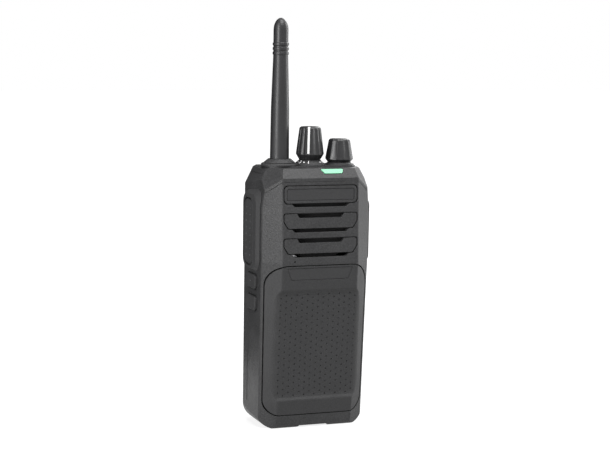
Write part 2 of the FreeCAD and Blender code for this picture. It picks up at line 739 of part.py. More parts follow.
def make_ptt_bezel():
    """The raised frame round the talk button, with sloping flanks, shaped to the casing's side."""
    half = dim("ptt_width") / 2
    rim = dim("bezel_rim")
    groove = dim("bezel_groove")
    side = dim("body_width") / 2
    back = dim("case_back") - 0.4
    low = dim("ptt_low") - rim + 2.0
    high = dim("ptt_high") + rim
    foot = side_outline(-side + 1.4, -dim("bezel_front") - 0.4, back, low - 0.5, high + 1.0, 6.0)
    crest = side_outline(
        -side - dim("bezel_proud"), -dim("bezel_front") + 2.8, back - 0.5, low + 1.2, high - 2.2, 5.0)
    ring = Part.makeLoft([foot, crest], True, True)
    hole = side_block(
        -side - 5, -side + 5, dim("ptt_centre_y") - half - groove, dim("ptt_centre_y") + half + dim("gap"),
        dim("ptt_low") - groove, dim("ptt_high") + groove, 5.0)
    clear = OUTER.copy()
    clear.translate(Vector(-0.08, 0, 0))
    ring = ring.cut(hole).cut(clear)
    return free_shape("ptt_bezel", ring)


def make_side_button(label, y, z, width, tall, proud, thick, radius):
    """A push button in the left side: a padded outline with rounded corners."""
    body = new_body(label)
    sketch = add_sketch(body, label + "_outline", "YZ_Plane")
    draw_loop(sketch, [
        (f"-{width}/2", f"-{tall}/2"), (f"{width}/2", f"-{tall}/2"),
        (f"{width}/2", f"{tall}/2"), (f"-{width}/2", f"{tall}/2"),
    ])
    pad(body, label + "_pad", sketch, thick)
    round_edges(body, label + "_corners", radius, lambda edge: runs_along(edge, Vector(1, 0, 0)))
    round_edges(body, label + "_rim", "0.45", lambda edge: edge.BoundBox.XMax < 1e-6)
    place(body, f"-Dims.body_width/2 - {proud}", y, z)
    return keep(body, label)


def make_jack_cover():
    """The flap over the accessory socket, held at its front edge."""
    side = dim("body_width") / 2
    flap = side_block(
        side - 1.2, side + dim("jack_proud"), -dim("jack_front"), dim("jack_rear"),
        dim("jack_low"), dim("jack_high"), 2.4)
    return free_shape("jack_cover", flap)


def make_jack_block():
    """The accessory socket: a block with a large and a small plug hole."""
    body = new_body("jack_block")
    sketch = add_sketch(body, "jack_block_outline", "YZ_Plane")
    draw_loop(sketch, [("-2.7", "-9"), ("2.7", "-9"), ("2.7", "9"), ("-2.7", "9")])
    pad(body, "jack_block_pad", sketch, "Dims.jack_deep + 0.8")
    holes = add_sketch(body, "jack_holes", "YZ_Plane", "Dims.jack_deep + 0.8")
    draw_circle(holes, "0", "-Dims.jack_pitch/2", "Dims.jack_big_radius")
    draw_circle(holes, "0", "Dims.jack_pitch/2", "Dims.jack_small_radius")
    pocket(body, "jack_bores", holes, "Dims.jack_deep")
    place(body, "Dims.body_width/2 - Dims.side_wall - Dims.jack_deep - 1.8", "Dims.jack_y", "Dims.jack_middle")
    return keep(body, "jack_block")


# ---- deck fittings ---------------------------------------------------------------------

DECK = "Dims.body_height + Dims.deck_pad"


def make_deck_fittings():
    """Collars, knobs, shafts and the antenna, all turned pieces."""
    turned("antenna_collar", [
        ("3.3", "0"), ("Dims.collar_radius", "0"), ("Dims.collar_radius", "0.7"),
        ("Dims.collar_radius - 0.4", "1.1"), ("Dims.collar_radius - 1.5", "1.1"),
        ("Dims.collar_radius - 1.3", "1.5"), ("Dims.whip_root + 0.9", "Dims.collar_tall"),
        ("3.3", "Dims.collar_tall"),
    ], "Dims.antenna_x", "Dims.knob_y", DECK)
    collar = SUB_PARTS[-1]
    relief = add_sketch(collar, "dial_relief", "XY_Plane")
    draw_circle(relief, "Dims.channel_x - Dims.antenna_x", "0", "Dims.dial_radius + Dims.gap")
    pocket(collar, "dial_relief_cut", relief, "Dims.collar_tall + 1", backward=True)
    inner = "Dims.shaft_radius + 1.2 + Dims.gap"
    turned("channel_dial_ring", [
        (inner, "0"), ("Dims.dial_radius", "0"), ("Dims.dial_radius", "0.35"),
        ("Dims.dial_radius - 0.5", "0.6"), ("Dims.crown_radius - 0.2", "Dims.dial_tall - 0.2"),
        (inner, "Dims.dial_tall - 0.2"),
    ], "Dims.channel_x", "Dims.knob_y", DECK)
    turned("volume_collar", [
        (inner, "0"), ("Dims.volume_collar_radius", "0"), ("Dims.volume_collar_radius", "0.4"),
        ("Dims.volume_collar_radius - 0.9", "0.5"), ("Dims.volume_collar_radius - 1.1", "0.8"),
        ("Dims.crown_radius + 0.2", "Dims.volume_collar_tall"), (inner, "Dims.volume_collar_tall"),
    ], "Dims.volume_x", "Dims.knob_y", DECK)
    for name, x, tall, start, rise, foot_radius in (
        ("channel", "Dims.channel_x", "Dims.channel_tall", "Dims.dial_tall", "Dims.channel_rise", "4.9"),
        ("volume", "Dims.volume_x", "Dims.volume_tall", "Dims.volume_collar_tall + 0.4", "Dims.volume_rise", "5.5"),
    ):
        foot = f"{DECK} + {start} - 0.2"
        hole = "Dims.shaft_radius"
        turned(name + "_knob", [
            (hole, "0"), (foot_radius, "0"), ("Dims.skirt_radius", rise),
            ("Dims.skirt_radius", f"{rise} + 0.3"), ("Dims.crown_radius", f"{tall} - 0.9"),
            ("Dims.crown_radius - 0.9", tall), ("0", tall), ("0", f"{tall} - 2.5"),
            (hole, f"{tall} - 2.5"),
        ], x, "Dims.knob_y", foot)
        length = f"{DECK} + {start} - 0.2 + {tall} - 2.5"
        shaft = bound_cylinder(
            name + "_shaft", hole, f"{length} - (Dims.body_height - 7.5)", x, "Dims.knob_y",
            "Dims.body_height - 7.5")
        keep(shaft, name + "_shaft")
        box = bound_box(
            name + "_can", "12.4", "11", "7", f"{x} - 6.2", "Dims.knob_y - 5.5", "Dims.body_height - 11.5")
        bush = bound_cylinder(
            name + "_bush", "Dims.shaft_radius + 1.2", f"4.5 + Dims.deck_pad + {start} - 0.4", x, "Dims.knob_y",
            "Dims.body_height - 4.5")
        bore = bound_cylinder(
            name + "_bore", "Dims.shaft_radius + Dims.running", "20", x, "Dims.knob_y",
            "Dims.body_height - 7.6")
        keep(cut(name + "_switch", fuse(name + "_switch_solid", box, bush), bore), name + "_switch")
    outline = [
        ("1.6", "0"), ("Dims.whip_root", "0"), ("Dims.whip_root - 0.2", "Dims.whip_height * 0.36"),
        ("Dims.whip_neck", "Dims.ring_low - 0.9"),
    ]
    for ring in range(3):
        middle = f"Dims.ring_low + {ring} * Dims.ring_pitch"
        outline += [
            ("Dims.whip_neck", f"{middle} - 0.75"), ("Dims.whip_neck + Dims.ring_proud", f"{middle} - 0.5"),
            ("Dims.whip_neck + Dims.ring_proud", f"{middle} + 0.5"), ("Dims.whip_neck", f"{middle} + 0.75"),
        ]
    dome = "(Dims.whip_height - Dims.whip_neck * 1.6)"
    outline.append(("Dims.whip_neck", dome))
    for step in range(1, 8):
        turn = math.radians(step * 90 / 8)
        outline.append((
            f"Dims.whip_neck * {math.cos(turn):.5f}", f"{dome} + Dims.whip_neck * {1.6 * math.sin(turn):.5f}"))
    outline += [("0", "Dims.whip_height"), ("0", "Dims.whip_height * 0.8"), ("1.6", "Dims.whip_height * 0.8")]
    turned("antenna_whip", outline, "Dims.antenna_x", "Dims.knob_y", DECK + " + Dims.collar_tall")
    core = bound_cylinder(
        "antenna_core", "1.6", "Dims.whip_height * 0.8", "Dims.antenna_x", "Dims.knob_y",
        DECK + " + Dims.collar_tall")
    keep(core, "antenna_core")
    plug = bound_cylinder(
        "antenna_plug", "2.2", "Dims.collar_tall + 6", "Dims.antenna_x", "Dims.knob_y", DECK + " - 6")
    keep(plug, "antenna_plug")
    shell = bound_cylinder(
        "socket_shell", "3.2", "6 + 9", "Dims.antenna_x", "Dims.knob_y", DECK + " - 14")
    bore = bound_cylinder(
        "socket_bore", "2.2 + Dims.running", "30", "Dims.antenna_x", "Dims.knob_y", DECK + " - 6.5")
    flange = bound_box(
        "socket_flange", "12", "9", "1.5", "Dims.antenna_x - 6", "Dims.knob_y - 4.5", DECK + " - 10")
    keep(cut("antenna_socket", fuse("socket_solid", shell, flange), bore), "antenna_socket")
    make_pointer()


def make_pointer():
    """The white line down the front of the channel knob, following its taper."""
    foot = dim("body_height") + dim("deck_pad") + dim("dial_tall") - 0.2
    tall = dim("channel_tall")
    crown = dim("crown_radius")
    skirt = dim("skirt_radius")
    proud = 0.2
    near = [Vector(-skirt - proud, 3.2), Vector(-crown - proud, tall - 0.9), Vector(-crown + 0.7, tall + 0.05)]
    far = [Vector(-crown + 0.7, tall - 0.3), Vector(-crown + 0.4, tall - 0.9), Vector(-skirt + 0.4, 3.2)]
    x = dim("channel_x") - 0.5
    points = [Vector(x, dim("knob_y") + p.x, foot + p.y) for p in near + far]
    line = Part.Face(Part.makePolygon(points + points[:1])).extrude(Vector(1.0, 0, 0))
    knob = [p for p in SUB_PARTS if p.Label == "channel_knob"][0]
    doc.recompute()
    axis = Vector(dim("channel_x"), dim("knob_y"), 0)
    turn = Placement(Vector(), Rotation(Vector(0, 0, 1), -dim("pointer_turn")), axis)
    line = line.cut(knob.Shape)
    line.Placement = turn.multiply(line.Placement)
    return free_shape("channel_pointer", line)


# ---- inside ----------------------------------------------------------------------------

def make_speaker():
    """Cloth, basket, cone and magnet, leaning with the front face."""
    z = dim("speaker_height")
    lean = Rotation(Vector(1, 0, 0), front_tilt(z))
    start = front_y(z, face_depth() + 0.1)

    def leaned(shape):
        shape.Placement = Placement(Vector(0, start, z), lean).multiply(shape.Placement)
        return shape

    def disc(radius, near, thick):
        return Part.makeCylinder(radius, thick, Vector(0, near, 0), Vector(0, 1, 0))

    radius = dim("speaker_radius")
    free_shape("speaker_cloth", leaned(disc(radius + 0.2, 0.0, 0.4)))
    basket = disc(radius, 0.5, 2.6).cut(disc(radius - 2, 0.4, 1.8))
    free_shape("speaker_basket", leaned(basket))
    cone = Part.makeCone(radius - 2.5, 4.0, 1.4, Vector(0, 0.7, 0), Vector(0, 1, 0))
    free_shape("speaker_cone", leaned(cone))
    free_shape("speaker_magnet", leaned(disc(dim("magnet_radius"), 3.1, 3.2)))
    mic_y = front_y(dim("mic_height"), face_depth() + 0.2)
    mic = Part.makeCylinder(2.9, 2.2, Vector(dim("mic_x"), mic_y, dim("mic_height")), Vector(0, 1, 0))
    free_shape("microphone", mic)


def make_chassis():
    """The die-cast frame: a plate with two side flanges and a window for the latch."""
    half = dim("chassis_half")
    y = dim("chassis_front")
    plate = prism_y(
        upright_outline(half, dim("floor_wall") + 0.4, dim("chassis_top"), dim("foot_round") - 2, 0.5),
        y, y + dim("chassis_thick"))
    rise = 12.0
    flange_deep = dim("cover_front") - 0.6 - y
    for side in (-1, 1):
        x = dim("flange_half") if side > 0 else -dim("flange_half") - dim("flange_thick")
        plate = plate.fuse(Part.makeBox(
            dim("flange_thick"), flange_deep, dim("pack_top") - rise - 0.6, Vector(x, y, rise)))
    window = dim("latch_half") + 0.4
    plate = plate.cut(Part.makeBox(2 * window, 20, 14, Vector(-window, y - 1, 0)))
    return free_shape("chassis", plate.removeSplitter())


def make_shaft_seals():
    """Rubber rings round the two control bushes, pressed under the deck plate."""
    high = dim("body_height") - dim("deck_plate")
    rings = []
    for x in (dim("channel_x"), dim("volume_x")):
        outer = Part.makeCylinder(dim("shaft_radius") + 2.2, 0.9, Vector(x, dim("knob_y"), high - 1.0))
        inner = Part.makeCylinder(dim("shaft_radius") + 1.2, 3, Vector(x, dim("knob_y"), high - 2))
        rings.append(outer.cut(inner))
    return free_shape("shaft_seals", Part.makeCompound(rings))


def make_boards():
    """Circuit boards, shields, terminals and key contacts."""
    back = "Dims.chassis_front - Dims.board_gap"
    board = bound_box(
        "main_board", "2*Dims.chassis_half - 3", "Dims.board_thick", "Dims.chassis_top - 15",
        "1.5 - Dims.chassis_half", f"{back} - Dims.board_thick", "14.5")
    keep(board, "main_board")
    front = f"{back} - Dims.board_thick - 2.6"
    shields = fuse(
        "shield_group",
        bound_box("shield_low", "19", "2.6", "26", "-20.5", front, "20"),
        bound_box("shield_high", "17", "2.6", "22", "2", front, "44"),
    )
    keep(shields, "rf_shields")
    spacer_box = fuse(
        "spacer_group",
        *[bound_cylinder(f"spacer_{n}", "1.6", "Dims.board_gap", x, back, z, "y")
          for n, (x, z) in enumerate([("-19", "20"), ("19", "20"), ("-19", "74"), ("19", "74")])],
    )
    keep(spacer_box, "board_spacers")
    inner = "-Dims.flange_half - Dims.flange_thick"
    strip = bound_box(
        "key_strip", "0.3", "14", "43", f"{inner} - 0.3", "-3.6", "54")
    domes = [
        bound_cylinder(f"dome_{n}", "2.2", "0.65", f"{inner} - 0.95", y, z, "x")
        for n, (y, z) in enumerate([
            ("Dims.ptt_centre_y", "(Dims.ptt_low + Dims.ptt_high)/2"),
            ("Dims.key_centre_y", "Dims.key_upper"), ("Dims.key_centre_y", "Dims.key_lower"),
        ])
    ]
    keep(fuse("key_board_solid", strip, *domes), "key_board")
    terminals = fuse(
        "terminal_group",
        *[bound_box(f"terminal_{n}", "2.4", "0.35", "6", f"{x} - 1.2", "Dims.chassis_front + Dims.chassis_thick",
                    "20") for n, x in enumerate(("-15", "-10", "10", "15"))],
    )
    keep(terminals, "radio_terminals")


# ---- back ------------------------------------------------------------------------------

def make_rear_cover():
    """The fixed upper back, with hinge pockets and the two belt clip holes."""
    low = dim("pack_top") + 0.7
    high = dim("body_height") - dim("deck_plate") - dim("gap")
    front = dim("chassis_front") + dim("chassis_thick") + 0.3
    back = dim("pack_back")
    half = dim("cover_half")
    gap = 2 * dim("gap")
    block = Part.makeBox(2 * half, back - front, high - low, Vector(-half, front, low))
    block = block.common(prism_y(body_outline(dim("side_wall") + gap), -40, 40))
    block = block.common(casing_block(
        dim("side_wall") + gap, face_depth(), 0, dim("body_height") + 2, dim("case_back") + 5))
    block = block.cut(Part.makeBox(2 * half - 4, back - 2 - front + 1, high - low - 4 + 10, Vector(-half + 2, front - 1, low + 4)))
    rim = above_plane(Vector(0, back - 2.2, high), Vector(0, 1, 0.9))
    block = block.cut(rim)
    for x in (-dim("clip_pitch") / 2, dim("clip_pitch") / 2):
        boss = Part.makeCylinder(3.2, dim("clip_deep") + 1, Vector(x, back - dim("clip_deep") - 1, dim("clip_height")), Vector(0, 1, 0))
        block = block.fuse(boss)
        hole = Part.makeCylinder(dim("clip_hole"), dim("clip_deep") + 1, Vector(x, back - dim("clip_deep"), dim("clip_height")), Vector(0, 1, 0))
        block = block.cut(hole)
    for x in (-19.0, 19.0):
        seat = Part.makeCylinder(2.6, 2, Vector(x, back - 1.2, 106), Vector(0, 1, 0))
        block = block.cut(seat)
        block = block.cut(Part.makeCylinder(1.35, 8, Vector(x, back - 6, 106), Vector(0, 1, 0)))
    for side in (-1, 1):
        x = side * dim("tab_x") - dim("tab_half") - 0.4
        block = block.cut(Part.makeBox(2 * dim("tab_half") + 0.8, 3.6, 2.6, Vector(x, 11.7, low - 0.01)))
    return free_shape("rear_cover", block.removeSplitter())


def make_rear_screws():
    """Two countersunk screws through the upper back."""
    screws = []
    back = dim("pack_back")
    for x in (-19.0, 19.0):
        head = Part.makeCylinder(2.45, 1.1, Vector(x, back - 1.2, 106), Vector(0, 1, 0))
        stem = Part.makeCylinder(1.3, 4.6, Vector(x, back - 5.8, 106), Vector(0, 1, 0))
        slot = Part.makeBox(3.0, 1.0, 0.5, Vector(x - 1.5, back - 0.6, 105.75))
        cross = Part.makeBox(0.5, 1.0, 3.0, Vector(x - 0.25, back - 0.6, 104.5))
        screws.append(head.fuse(stem).cut(slot).cut(cross).removeSplitter())
    return free_shape("rear_screws", Part.makeCompound(screws))


def make_battery():
    """The battery: a tray, a back cover with hinge tabs, two cells and the contacts."""
    half = dim("cover_half")
    front = dim("cover_front")
    back = dim("pack_back")
    top = dim("pack_top")
    cover = prism_y(upright_outline(half, 0.0, top, dim("foot_round") - 2.6, 0.6), front, back)
    for side in (-1, 1):
        cover = cover.cut(above_plane(Vector(side * (half - 2.6), back, 0), Vector(side * 0.9, 1, 0)))
        tab = Part.makeBox(
            2 * dim("tab_half"), 1.4, dim("tab_tall") + 1, Vector(side * dim("tab_x") - dim("tab_half"), front + 0.4, top - 1))
        cover = cover.fuse(tab)
    wall = dim("pack_wall")
    cover = cover.cut(above_plane(Vector(0, back, top - 0.5), Vector(0, 1, 1)))
    free_shape("battery_cover", cover.removeSplitter())
    tray_front = dim("pack_front")
    low = 2.8
    high = top - 1.5
    inner_half = dim("pack_half")
    tray = prism_y(upright_outline(inner_half, low, high, dim("foot_round") - 4.5, 1.0), tray_front, front)
    hollow = prism_y(
        upright_outline(inner_half - wall, low + 12, high - wall, 2.0, 1.0), tray_front + wall, front + 1)
    tray = tray.cut(hollow)
    window = dim("latch_half") + 0.4
    tray = tray.cut(Part.makeBox(2 * window, 5.2, 5.8, Vector(-window, tray_front - 0.5, 8.8)))
    free_shape("battery_tray", tray)
    cell_tall = (high - wall - low - 12) - 1.0
    cell = (inner_half - wall) - 0.8
    cells = []
    for x in (-cell - 0.3, 0.3):
        cells.append(Part.makeBox(cell, front - tray_front - wall - 0.5, cell_tall, Vector(x, tray_front + wall + 0.2, low + 12.5)))
    free_shape("battery_cells", Part.makeCompound([c.makeFillet(1.5, c.Edges) for c in cells]))
    contacts = fuse(
        "contact_group",
        *[bound_box(f"contact_{n}", "3", "0.12", "8", f"{x} - 1.5", "Dims.pack_front - 0.12", "18.8")
          for n, x in enumerate(("-15", "-10", "10", "15"))],
    )
    keep(contacts, "battery_contacts")
    plates = [Part.makeBox(5, 4.5, 0.3, Vector(x, 7.2, 2.5)) for x in (-15, 10)]
    free_shape("charge_contacts", Part.makeCompound(plates))


def make_latch():
    """The battery latch: a thumb pad under the foot with a hook that reaches into the tray."""
    body = new_body("battery_latch")
    sketch = add_sketch(body, "latch_outline", "YZ_Plane")
    draw_loop(sketch, [
        ("1.0", "0.6"), ("3.9", "0.6"), ("3.9", "9.7"), ("Dims.pack_front + Dims.pack_wall + 0.3", "9.7"),
        ("Dims.pack_front + Dims.pack_wall + 0.3", "8.9"), ("Dims.pack_front + Dims.pack_wall + 1.4", "8.9"),
        ("Dims.pack_front + Dims.pack_wall + 1.4", "11.3"), ("1.0", "11.3"),
    ])
    pad(body, "latch_pad", sketch, "2*Dims.latch_half", True)
    return keep(body, "battery_latch")


def build():
    """Makes every sub-part."""
    make_front_case()
    make_lower_panel()
    make_label_plate()
    make_grille_bars()
    make_badge()
    make_top_cover()
    make_led_lens()
    make_ptt_bezel()
    make_side_button(
        "ptt_button", "Dims.ptt_centre_y", "(Dims.ptt_low + Dims.ptt_high)/2", "Dims.ptt_width",
        "(Dims.ptt_high - Dims.ptt_low)", "Dims.ptt_proud", "Dims.ptt_thick", "4.4")
    for label, height in (("side_key_upper", "Dims.key_upper"), ("side_key_lower", "Dims.key_lower")):
        make_side_button(
            label, "Dims.key_centre_y", height, "Dims.key_width", "Dims.key_tall",
            "Dims.key_proud", "Dims.key_thick", "2.1")
    make_jack_cover()
    make_jack_block()
    make_deck_fittings()
    make_speaker()
    make_chassis()
    make_shaft_seals()
    make_boards()
    make_rear_cover()
    make_rear_screws()
    make_battery()
    make_latch()
    doc.recompute()


def check_and_write():
    """Stops on a failed object or a bad shape, then writes each sub-part as STEP."""
    for item in doc.Objects:
        if "Invalid" in item.State or "Error" in item.State:
            raise RuntimeError(f"{item.Name} failed: {item.State}")
    os.makedirs("parts", exist_ok=True)
    for piece in SUB_PARTS:
        shape = piece.Shape
        if shape.isNull() or not shape.isValid() or not shape.Solids:
            raise RuntimeError(f"{piece.Label} has no valid solid")
        shape.exportStep(os.path.join("parts", piece.Label + ".step"))
        print(piece.Label, len(shape.Solids), round(shape.Volume, 1))


build()
check_and_write()
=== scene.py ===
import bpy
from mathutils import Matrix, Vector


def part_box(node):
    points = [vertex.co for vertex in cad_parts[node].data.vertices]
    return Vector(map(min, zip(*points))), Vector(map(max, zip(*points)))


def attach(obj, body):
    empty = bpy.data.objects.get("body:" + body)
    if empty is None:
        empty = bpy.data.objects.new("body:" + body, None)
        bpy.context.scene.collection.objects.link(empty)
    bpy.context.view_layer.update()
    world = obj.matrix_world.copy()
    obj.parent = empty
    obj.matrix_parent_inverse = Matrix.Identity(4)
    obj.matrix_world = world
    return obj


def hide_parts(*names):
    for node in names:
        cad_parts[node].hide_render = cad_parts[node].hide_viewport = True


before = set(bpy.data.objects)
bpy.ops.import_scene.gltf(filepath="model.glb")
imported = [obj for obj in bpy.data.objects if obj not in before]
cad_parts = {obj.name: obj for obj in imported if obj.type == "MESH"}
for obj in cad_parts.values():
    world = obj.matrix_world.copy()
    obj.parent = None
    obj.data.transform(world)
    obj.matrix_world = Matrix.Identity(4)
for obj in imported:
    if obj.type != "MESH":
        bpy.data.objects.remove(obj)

"""Handheld two way radio: finishes, turned knobs, dial figures and studio round the fixed frame.

Everything is in metres, in the frame's own axes: +Z up, -Y out of the speaker face.
"""

import logging
import math
from dataclasses import dataclass, field
from enum import Enum

import bmesh
import bpy
from mathutils import Matrix, Vector

MM = 0.001
LOG = logging.getLogger("radio")
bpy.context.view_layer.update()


class Look(Enum):
    """Named finishes that the frame's nodes can wear."""

    CASE = "case_grain"
    PANEL = "panel_grain"
    PLATE = "satin_plate"
    BUTTON = "button_rubber"
    # Raised dots in a lighter colour than the button: a painted highlight standing in for glints.
    DOT = "rubber_dots_painted_highlight"
    KNOB = "knob_satin"
    WHIP = "whip_rubber"
    COVER = "cover_grain"
    PACK = "pack_grain"
    INNER = "inner_plastic"
    CLOTH = "speaker_cloth"
    CONE = "cone_paper"
    STEEL = "plated_steel"
    CAST = "cast_alloy"
    GOLD = "gold_contact"
    SCREW = "black_screw"
    BOARD = "solder_mask"
    CELL = "cell_wrap"
    LENS = "light_guide"
    INK = "white_ink"


# ---- finishes --------------------------------------------------------------------------

class Nodes:
    """A small hand for building one material's node tree."""

    def __init__(self, name: str) -> None:
        """Starts an empty material with a shader on its output.

        Args:
            name: The material's name.
        """
        self.material = bpy.data.materials.new(name)
        self.material.use_nodes = True
        self.tree = self.material.node_tree
        self.tree.nodes.clear()
        self.output = self.add("ShaderNodeOutputMaterial")
        self.shader = self.add("ShaderNodeBsdfPrincipled")
        self.link(self.shader, "BSDF", self.output, "Surface")
        self.place = self.add("ShaderNodeTexCoord")

    def add(self, kind: str, **settings: object) -> bpy.types.Node:
        """Adds a node.

        Args:
            kind: Blender's node type.
            **settings: Properties to set on it.

        Returns:
            The new node.
        """
        node = self.tree.nodes.new(kind)
        for key, value in settings.items():
            setattr(node, key, value)
        return node

    def link(self, source: bpy.types.Node, out: str, target: bpy.types.Node, into: str) -> None:
        """Joins one node's named output to another's named input."""
        self.tree.links.new(source.outputs[out], target.inputs[into])

    def noise(self, scale: float, detail: float = 2.0, rough: float = 0.5) -> bpy.types.Node:
        """Noise on the object's own coordinates.

        Args:
            scale: Waves per metre, roughly.
            detail: Octaves of finer noise.
            rough: How strong the finer octaves are.

        Returns:
            The noise node.
        """
        node = self.add("ShaderNodeTexNoise")
        node.inputs["Scale"].default_value = scale
        node.inputs["Detail"].default_value = detail
        node.inputs["Roughness"].default_value = rough
        self.link(self.place, "Object", node, "Vector")
        return node

    def spread(self, source: bpy.types.Node, out: str, low: float, high: float,
               start: float = 0.3, stop: float = 0.7) -> bpy.types.Node:
        """Maps a value to a range.

        Args:
            source: Node that gives the value.
            out: Name of its output.
            low: Result at start.
            high: Result at stop.
            start: Lowest value read.
            stop: Highest value read.

        Returns:
            The Map Range node.
        """
        node = self.add("ShaderNodeMapRange")
        for socket, value in (("From Min", start), ("From Max", stop), ("To Min", low), ("To Max", high)):
            node.inputs[socket].default_value = value
        self.link(source, out, node, "Value")
        return node

    def tint(self, source: bpy.types.Node, out: str, dark: tuple, light: tuple) -> bpy.types.Node:
        """Blends two colours by a value and feeds the shader's base colour.

        Args:
            source: Node that gives the value from 0 to 1.
            out: Name of its output.
            dark: Colour at 0.
            light: Colour at 1.

        Returns:
            The Mix node.
        """
        node = self.add("ShaderNodeMix", data_type="RGBA")
        node.inputs[6].default_value = (*dark, 1.0)
        node.inputs[7].default_value = (*light, 1.0)
        self.link(source, out, node, "Factor")
        self.tree.links.new(node.outputs[2], self.shader.inputs["Base Color"])
        return node

    def bump(self, source: bpy.types.Node, out: str, depth: float,
             under: bpy.types.Node | None = None) -> bpy.types.Node:
        """Adds a bump and feeds the shader's normal.

        Args:
            source: Node that gives the height.
            out: Name of its output.
            depth: Height in metres of a full step.
            under: A normal to bump on top of.

        Returns:
            The bump node.
        """
        node = self.add("ShaderNodeBump")
        node.inputs["Strength"].default_value = 1.0
        node.inputs["Distance"].default_value = depth
        self.link(source, out, node, "Height")
        if under is not None:
            self.link(under, "Normal", node, "Normal")
        self.link(node, "Normal", self.shader, "Normal")
        return node

    def soft_edges(self, radius: float) -> bpy.types.Node:
        """Rounds the shading of sharp edges by that radius."""
        node = self.add("ShaderNodeBevel", samples=6)
        node.inputs["Radius"].default_value = radius
        return node


def shade(colour: tuple, factor: float) -> tuple:
    """A colour times a factor."""
    return tuple(min(1.0, part * factor) for part in colour)


@dataclass(frozen=True)
class MouldedPlastic:
    """Moulded plastic or rubber: fine spark-eroded grain, faint handling wear and dust."""

    colour: tuple
    roughness: float = 0.42
    grain: float = 1300.0
    grain_depth: float = 0.16 * MM
    edge: float = 0.25 * MM
    specular: float = 0.30
    speckle: float = 0.45
    wear: float = 0.12
    cloud: float = 90.0
    grain_share: float = 0.7
    grain_reach: tuple = (0.34, 0.66)

    def build(self, name: str) -> bpy.types.Material:
        """Makes the material."""
        tree = Nodes(name)
        tree.shader.inputs["Specular IOR Level"].default_value = self.specular
        grain = tree.noise(self.grain, 3.0, 0.65)
        cloud = tree.noise(self.cloud, 3.0)
        blend = tree.add("ShaderNodeMath", operation="MULTIPLY_ADD")
        blend.inputs[1].default_value = self.grain_share
        fine = tree.spread(grain, "Fac", 0.0, 1.0, *self.grain_reach)
        tree.link(fine, "Result", blend, "Value")
        wide = tree.spread(cloud, "Fac", 0.0, 1.0 - self.grain_share)
        tree.tree.links.new(wide.outputs["Result"], blend.inputs[2])
        dark = shade(self.colour, 1.0 - self.speckle)
        tree.tint(blend, "Value", dark, shade(self.colour, 1.0 + self.speckle))
        rough = tree.spread(cloud, "Fac", self.roughness - self.wear / 2, self.roughness + self.wear / 2)
        tree.link(rough, "Result", tree.shader, "Roughness")
        tree.bump(grain, "Fac", self.grain_depth, tree.soft_edges(self.edge))
        return tree.material


@dataclass(frozen=True)
class Metal:
    """Plated, cast or brushed metal with fine scratches and a dull patchy film."""

    colour: tuple
    roughness: float = 0.35
    grain: float = 1500.0
    grain_depth: float = 0.01 * MM

    def build(self, name: str) -> bpy.types.Material:
        """Makes the material."""
        tree = Nodes(name)
        tree.shader.inputs["Metallic"].default_value = 1.0
        grain = tree.noise(self.grain, 3.0, 0.6)
        film = tree.noise(160.0, 3.0)
        tree.tint(tree.spread(film, "Fac", 0.0, 1.0), "Result", shade(self.colour, 0.8), self.colour)
        rough = tree.spread(film, "Fac", self.roughness - 0.08, self.roughness + 0.1)
        tree.link(rough, "Result", tree.shader, "Roughness")
        tree.bump(grain, "Fac", self.grain_depth, tree.soft_edges(0.15 * MM))
        return tree.material


@dataclass(frozen=True)
class WovenCloth:
    """A fine square weave, for the cloth behind the speaker bars."""

    colour: tuple
    pitch: float = 0.5 * MM

    def build(self, name: str) -> bpy.types.Material:
        """Makes the material."""
        tree = Nodes(name)
        split = tree.add("ShaderNodeSeparateXYZ")
        tree.link(tree.place, "Object", split, "Vector")
        threads = []
        for axis in ("X", "Z"):
            turn = tree.add("ShaderNodeMath", operation="MULTIPLY")
            turn.inputs[1].default_value = 2 * math.pi / self.pitch
            tree.link(split, axis, turn, "Value")
            wave = tree.add("ShaderNodeMath", operation="SINE")
            tree.link(turn, "Value", wave, "Value")
            threads.append(wave)
        weave = tree.add("ShaderNodeMath", operation="MULTIPLY")
        tree.link(threads[0], "Value", weave, "Value")
        tree.tree.links.new(threads[1].outputs["Value"], weave.inputs[1])
        level = tree.spread(weave, "Value", 0.0, 1.0, -1.0, 1.0)
        tree.tint(level, "Result", shade(self.colour, 0.4), shade(self.colour, 1.5))
        tree.shader.inputs["Roughness"].default_value = 0.85
        tree.bump(level, "Result", 0.05 * MM)
        return tree.material


@dataclass(frozen=True)
class Coated:
    """A smooth coated surface with a slightly uneven sheen: solder mask, shrink wrap or ink."""

    colour: tuple
    roughness: float = 0.3
    coat: float = 0.0
    unevenness: float = 0.12

    def build(self, name: str) -> bpy.types.Material:
        """Makes the material."""
        tree = Nodes(name)
        cloud = tree.noise(350.0, 3.0)
        tree.shader.inputs["Coat Weight"].default_value = self.coat
        level = tree.spread(cloud, "Fac", 0.0, 1.0)
        tree.tint(level, "Result", shade(self.colour, 1.0 - self.unevenness), self.colour)
        rough = tree.spread(cloud, "Fac", self.roughness - 0.05, self.roughness + 0.08)
        tree.link(rough, "Result", tree.shader, "Roughness")
        tree.bump(cloud, "Fac", 0.01 * MM, tree.soft_edges(0.1 * MM))
        return tree.material


@dataclass(frozen=True)
class LightGuide:
    """Milky plastic that carries a status light's glow."""

    colour: tuple
    glow: float = 0.05

    def build(self, name: str) -> bpy.types.Material:
        """Makes the material."""
        tree = Nodes(name)
        cloud = tree.noise(220.0, 2.0)
        level = tree.spread(cloud, "Fac", 0.0, 1.0)
        tree.tint(level, "Result", shade(self.colour, 0.88), self.colour)
        tree.link(tree.spread(cloud, "Fac", 0.22, 0.34), "Result", tree.shader, "Roughness")
        tree.shader.inputs["Emission Color"].default_value = (*self.colour, 1.0)
        tree.shader.inputs["Emission Strength"].default_value = self.glow
        tree.bump(cloud, "Fac", 0.02 * MM, tree.soft_edges(0.25 * MM))
        return tree.material


